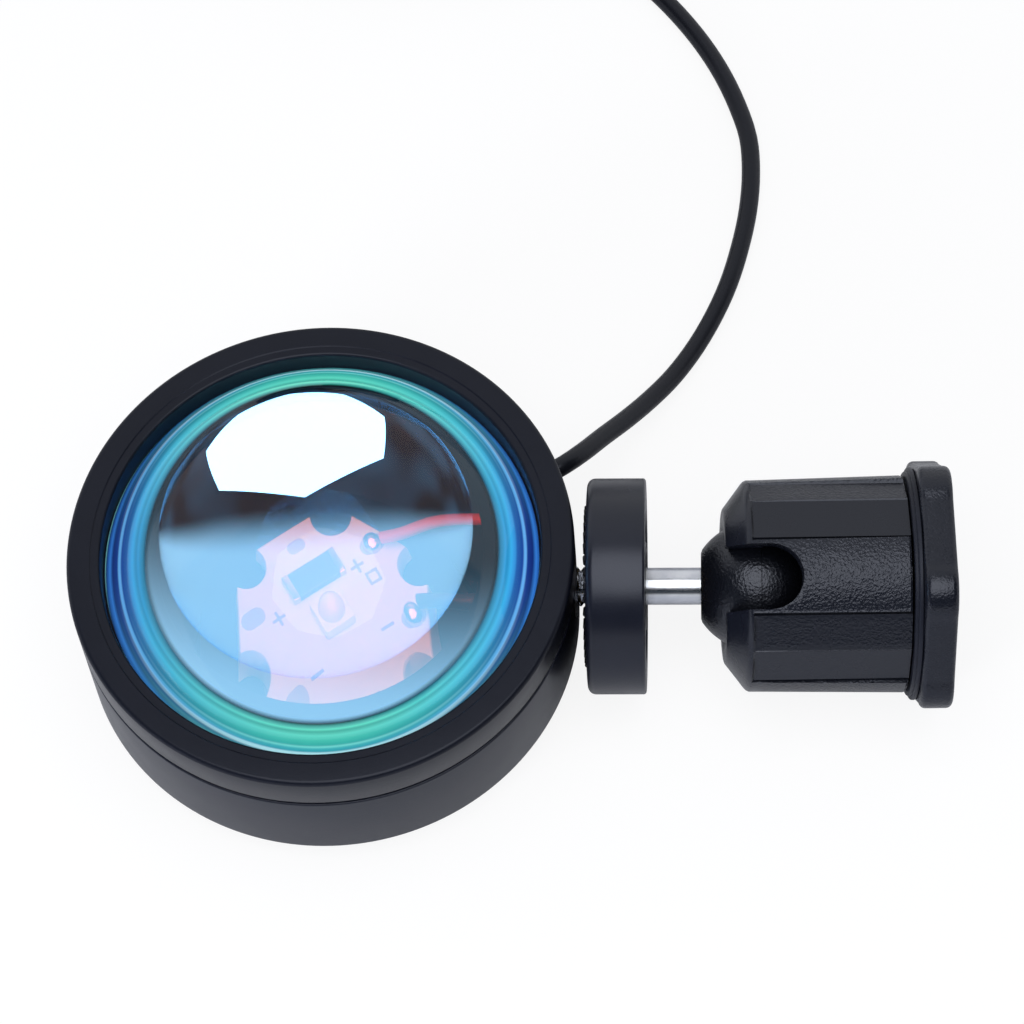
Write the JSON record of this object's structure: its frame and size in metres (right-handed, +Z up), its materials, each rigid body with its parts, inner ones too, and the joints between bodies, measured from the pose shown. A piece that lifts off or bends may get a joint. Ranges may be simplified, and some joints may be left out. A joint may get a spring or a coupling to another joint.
{
  "type": "sunset projection lamp",
  "caption": "Round sunset projection lamp: a domed lens in a low black head, on a ball mount with a locking disc and a lobed base, with a USB cord and an inline switch.",
  "frame": {"origin": "centre of the lamp's box, without the cord, on the surface it lies on", "axes": "+X from the head to the base plate, +Y away from the viewer, +Z up, the way the lens looks"},
  "size_m": [0.149, 0.2299, 0.0463],
  "materials": {
    "housing_black": "satin black moulding with a fine even grain",
    "cover_black": "satin black moulding",
    "lens_glass": "clear domed lens with a dichroic film on its flat back",
    "inner_black": "dull black",
    "rubber_black": "matt black",
    "screw_steel": "plain steel",
    "stud_steel": "bright plated steel",
    "sink_black": "turned and anodised black",
    "board_white": "white solder mask",
    "led_white": "white package",
    "led_phosphor": "yellow phosphor under a clear dome",
    "resistor_black": "black",
    "solder": "bright",
    "wire_red": "red insulation",
    "wire_black": "black insulation",
    "brass": "turned brass",
    "ball_black": "smooth satin black",
    "sleeve_black": "satin black moulding with grained grip facets",
    "cord_black": "satin black sheath",
    "tie_white": "natural white",
    "strap_black": "black strap",
    "switch_black": "satin black moulding",
    "button_grey": "dark grey",
    "usb_steel": "bright plated steel",
    "usb_white": "white",
    "contact_gold": "gold plated"
  },
  "bodies": {
    "head": {"front_bezel": "housing_black", "lens": "lens_glass", "lens_gasket": "rubber_black", "light_baffle": "inner_black", "rear_housing": "housing_black", "back_cover": "cover_black", "cover_screws": "screw_steel", "heat_plate": "sink_black", "heat_sink": "sink_black", "thermal_pad": "rubber_black", "star_board": "board_white", "led_package": "led_white", "led_dome": "led_phosphor", "resistor": "resistor_black", "solder_joints": "solder", "red_wire": "wire_red", "black_wire": "wire_black", "side_insert": "brass", "cord_grommet": "rubber_black", "cord_tie": "tie_white", "cord_lead": "cord_black", "cord_link": "cord_black", "cord_coil": "cord_black", "cord_tail": "cord_black", "coil_strap": "strap_black", "switch_base": "switch_black", "switch_cover": "switch_black", "plug_handle": "cord_black", "plug_shell": "usb_steel", "plug_tongue": "usb_white", "plug_contacts": "contact_gold"},
    "ball_stud": {"threaded_stud": "stud_steel", "ball": "ball_black"},
    "disc_slide": {"disc_insert": "brass"},
    "disc": {"locking_disc": "housing_black", "friction_ring": "rubber_black"},
    "sleeve": {"locking_sleeve": "sleeve_black"},
    "base": {"ball_seat": "ball_black", "base_plate": "sleeve_black", "collar_washer": "cover_black", "base_insert": "brass", "foot_pad": "rubber_black"},
    "switch_key": {"switch_button": "button_grey"}
  },
  "joints": [
    {"name": "stud_turn", "type": "hinge", "parent": "head", "child": "ball_stud", "pos_m": [0.03924, -0.00214, 0.01909], "axis": [0.9987, -0.0314, 0.0397], "continuous": true},
    {"name": "disc_travel", "type": "slide", "parent": "ball_stud", "child": "disc_slide", "axis": [0.9987, -0.0314, 0.0397], "range_m": [-0.001, 0]},
    {"name": "disc_turn", "type": "hinge", "parent": "disc_slide", "child": "disc", "pos_m": [0.03924, -0.00214, 0.01909], "axis": [0.9987, -0.0314, 0.0397], "range_deg": [-283, 0]},
    {"name": "ball_tilt", "type": "hinge", "parent": "ball_stud", "child": "sleeve", "pos_m": [0.03924, -0.00214, 0.01909], "axis": [0, -0.9397, -0.342], "range_deg": [-42, 92]},
    {"name": "base_turn", "type": "hinge", "parent": "sleeve", "child": "base", "pos_m": [0.03924, -0.00214, 0.01909], "axis": [1, 0, 0], "continuous": true},
    {"name": "switch_press", "type": "slide", "parent": "head", "child": "switch_key", "axis": [0, 0, -1], "range_m": [0, 0.0012], "stiffness_N_per_m": 300, "springref_m": -0.0005}
  ],
  "couplings": [
    {"joint": "disc_travel", "follows": "disc_turn", "m_per_rad": 0.00020213}
  ]
}
